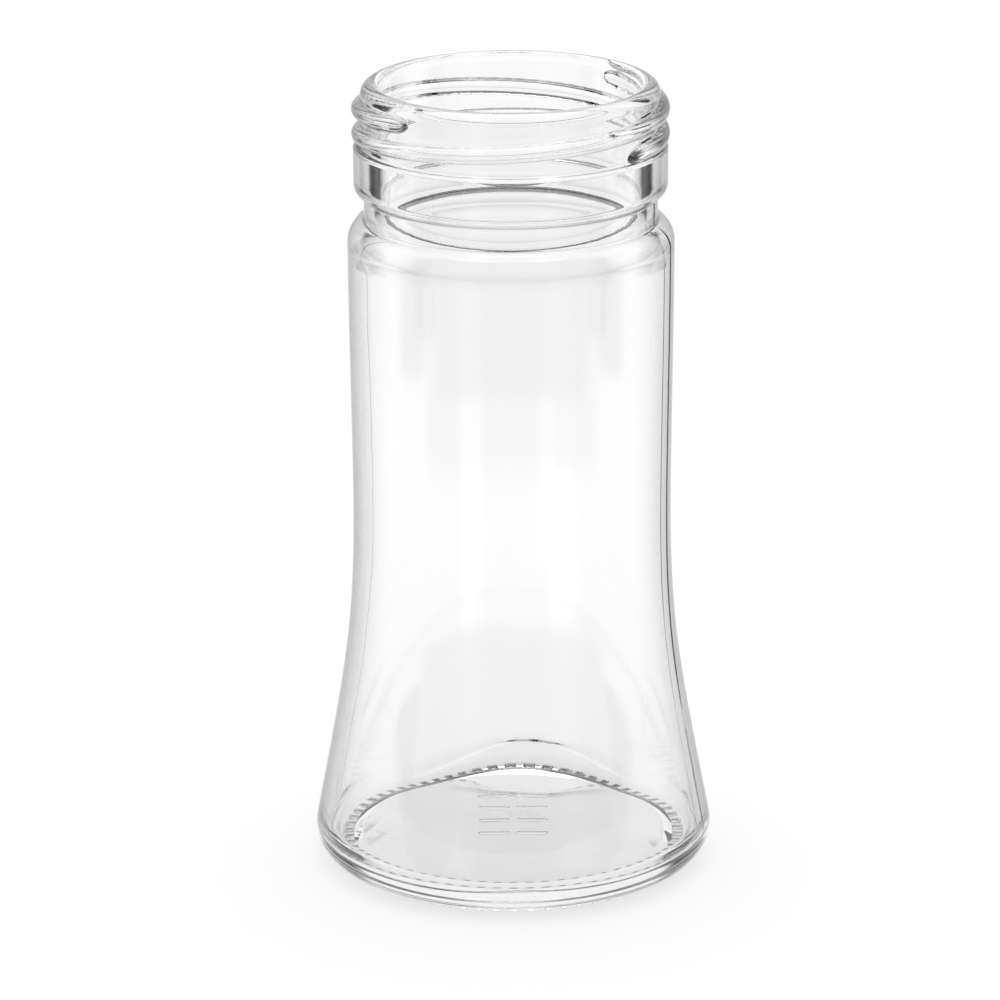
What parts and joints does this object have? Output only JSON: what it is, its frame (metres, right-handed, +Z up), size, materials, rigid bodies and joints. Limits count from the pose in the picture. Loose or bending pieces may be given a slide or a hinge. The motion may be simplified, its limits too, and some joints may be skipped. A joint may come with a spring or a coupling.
{
  "type": "spice jar",
  "caption": "Open clear glass jar with a flared base, straight waist, stepped neck and two-start screw mouth, for dry spices.",
  "frame": {"origin": "centre of the base, on the plane that the jar stands on", "axes": "+Z up along the jar's axis, towards the mouth; the jar is round, so +X and +Y are level and the front is -Y"},
  "size_m": [0.0542, 0.0542, 0.1086],
  "materials": {
    "clear_glass": "clear, fire-polished"
  },
  "bodies": {
    "root": {"glass_jar": "clear_glass"}
  },
  "joints": []
}
